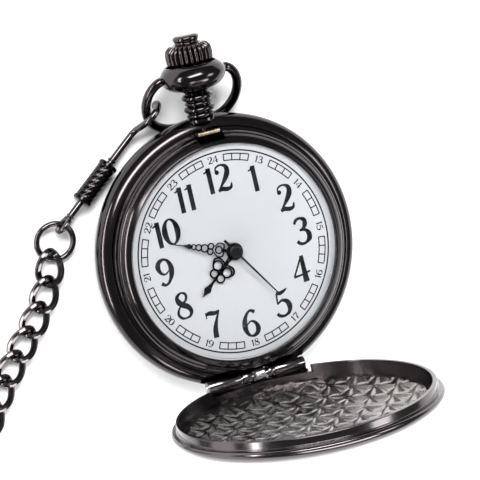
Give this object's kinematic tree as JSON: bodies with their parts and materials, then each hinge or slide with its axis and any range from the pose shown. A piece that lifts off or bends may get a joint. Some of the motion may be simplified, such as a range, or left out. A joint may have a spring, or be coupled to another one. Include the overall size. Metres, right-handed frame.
{
  "type": "hunter pocket watch",
  "caption": "Hunter-case pocket watch on its back with the sprung cover standing open, its bow, spring clasp and curb chain, and a quartz movement that drives the hands.",
  "frame": {"origin": "centre of the flat of the case back, on which the watch lies", "axes": "+Z out of the dial, +Y towards 12 o'clock and the crown, +X towards 3 o'clock"},
  "size_m": [0.1383, 0.0816, 0.0537],
  "materials": {
    "gunmetal": "polished black nickel plate on brass",
    "crystal": "clear mineral glass",
    "dial": "cool white enamel paint with black printing",
    "hands": "gloss black",
    "holder": "black moulded acetal",
    "plastic": "circuit board and moulded chip",
    "brass": "turned and cut",
    "steel": "stamped, turned and drawn steel"
  },
  "bodies": {
    "watch_case": {"case_middle": "gunmetal", "case_back": "gunmetal", "bezel": "gunmetal", "crystal": "crystal", "dial": "dial", "movement_holder": "holder", "main_plate": "brass", "train_bridge": "steel", "stator": "steel", "coil": "brass", "battery": "steel", "battery_clamp": "steel", "circuit_board": "plastic", "quartz_can": "steel", "timing_chip": "plastic", "setting_lever": "steel", "setting_screw": "steel", "pendant": "gunmetal", "crown_spring": "steel", "hinge_pin": "steel", "lid_spring": "steel", "clasp_hook": "gunmetal", "jump_ring": "gunmetal", "chain_coil": "gunmetal", "chain_run": "gunmetal", "t_bar": "gunmetal"},
    "cover": {"front_cover": "gunmetal"},
    "pusher": {"latch_pusher": "steel"},
    "catch": {"latch": "brass"},
    "clip": {"stem_clip": "steel"},
    "crown": {"crown": "gunmetal", "winding_stem": "steel"},
    "bow": {"bow": "gunmetal"},
    "sleeve": {"clasp_sleeve": "gunmetal"},
    "seconds": {"second_wheel": "brass", "second_hand": "hands"},
    "intermediate": {"intermediate_wheel": "brass"},
    "rotor": {"rotor": "steel"},
    "third": {"third_wheel": "brass"},
    "minutes": {"centre_wheel": "brass", "minute_hand": "hands"},
    "minute_work": {"minute_wheel": "brass"},
    "hours": {"hour_wheel": "brass", "hour_hand": "hands"}
  },
  "joints": [
    {"name": "cover_hinge", "type": "hinge", "parent": "watch_case", "child": "cover", "pos_m": [0, -0.0222, 0.0084], "axis": [1, 0, 0], "range_deg": [-93.2, 0], "stiffness_Nm_per_rad": 0.004, "springref_deg": 17.19},
    {"name": "pusher_slide", "type": "slide", "parent": "watch_case", "child": "pusher", "axis": [0, 1, 0], "range_m": [-0.0008, 0], "stiffness_N_per_m": 800, "springref_m": 0.0003},
    {"name": "latch_slide", "type": "slide", "parent": "watch_case", "child": "catch", "axis": [0, 1, 0], "range_m": [-0.0008, 0]},
    {"name": "setting_pull", "type": "slide", "parent": "pusher", "child": "clip", "axis": [0, 1, 0], "range_m": [0, 0.0012]},
    {"name": "crown_turn", "type": "hinge", "parent": "clip", "child": "crown", "pos_m": [0, 0.034, 0.007], "axis": [0, 1, 0], "continuous": true},
    {"name": "bow_pivot", "type": "hinge", "parent": "watch_case", "child": "bow", "pos_m": [0, 0.031, 0.007], "axis": [1, 0, 0], "range_deg": [0, 250]},
    {"name": "sleeve_slide", "type": "slide", "parent": "watch_case", "child": "sleeve", "axis": [-0.7785, -0.6276, 0], "range_m": [0, 0.0026], "stiffness_N_per_m": 150, "springref_m": -0.0005},
    {"name": "seconds_turn", "type": "hinge", "parent": "watch_case", "child": "seconds", "pos_m": [0, 0, 0.008], "axis": [0, 0, 1], "continuous": true},
    {"name": "intermediate_turn", "type": "hinge", "parent": "watch_case", "child": "intermediate", "pos_m": [-0.0036, 0.0022, 0.006], "axis": [0, 0, 1], "continuous": true},
    {"name": "rotor_turn", "type": "hinge", "parent": "watch_case", "child": "rotor", "pos_m": [-0.007, 0.001, 0.0065], "axis": [0, 0, 1], "continuous": true},
    {"name": "third_turn", "type": "hinge", "parent": "watch_case", "child": "third", "pos_m": [0.0039, 0.0033, 0.007], "axis": [0, 0, 1], "continuous": true},
    {"name": "centre_turn", "type": "hinge", "parent": "watch_case", "child": "minutes", "pos_m": [0, 0, 0.0085], "axis": [0, 0, 1], "continuous": true},
    {"name": "minute_wheel_turn", "type": "hinge", "parent": "watch_case", "child": "minute_work", "pos_m": [0.0026, -0.0022, 0.0088], "axis": [0, 0, 1], "continuous": true},
    {"name": "hour_turn", "type": "hinge", "parent": "watch_case", "child": "hours", "pos_m": [0, 0, 0.0095], "axis": [0, 0, 1], "continuous": true}
  ],
  "couplings": [
    {"joint": "latch_slide", "follows": "pusher_slide", "ratio": 1},
    {"joint": "intermediate_turn", "follows": "seconds_turn", "ratio": -6},
    {"joint": "rotor_turn", "follows": "seconds_turn", "ratio": 30},
    {"joint": "third_turn", "follows": "seconds_turn", "ratio": -0.13333},
    {"joint": "centre_turn", "follows": "seconds_turn", "ratio": 0.016667},
    {"joint": "minute_wheel_turn", "follows": "seconds_turn", "ratio": -0.0055556},
    {"joint": "hour_turn", "follows": "seconds_turn", "ratio": 0.0013889}
  ]
}
